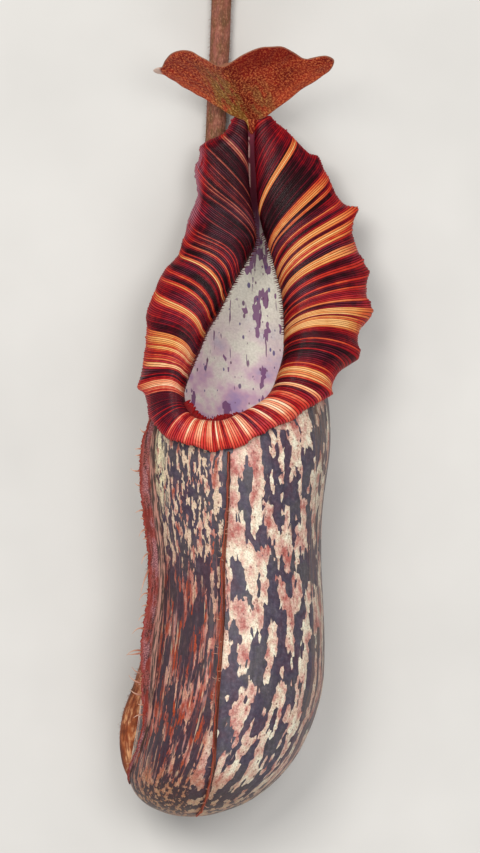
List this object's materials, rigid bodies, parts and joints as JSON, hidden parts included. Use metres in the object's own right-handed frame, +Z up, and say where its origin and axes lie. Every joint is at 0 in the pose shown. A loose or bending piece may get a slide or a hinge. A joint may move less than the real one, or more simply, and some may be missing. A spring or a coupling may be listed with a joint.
{
  "type": "pitcher plant pitcher",
  "caption": "Cut pitcher of a tropical pitcher plant on its tendril: hollow cup with fringed wings, a ribbed flared collar round the mouth and a keeled lid, lying on its back.",
  "frame": {"origin": "middle of the flat spot on the pitcher's back that it rests on, on the supporting surface", "axes": "+Z up from the supporting surface, +Y from the pitcher's base towards the tendril's cut end, +X to the right as seen from above with the mouth up"},
  "size_m": [0.0759, 0.2563, 0.0611],
  "materials": {
    "tendril_bark": "brown-pink fibrous stem, matt, finely fuzzy",
    "pitcher_wall": "smooth leaf skin, slate-purple with cream and pink blotches, soft sheen",
    "wing_skin": "thin reddish leaf skin, satin",
    "collar_gloss": "hard waxy gloss, striped deep red, orange, cream and purple",
    "lid_skin": "leaf skin, orange-red with fine pale speckles, satin"
  },
  "bodies": {
    "root": {"tendril": "tendril_bark", "cup": "pitcher_wall", "wing_left": "wing_skin", "wing_front": "wing_skin", "peristome": "collar_gloss", "lid": "lid_skin"}
  },
  "joints": []
}
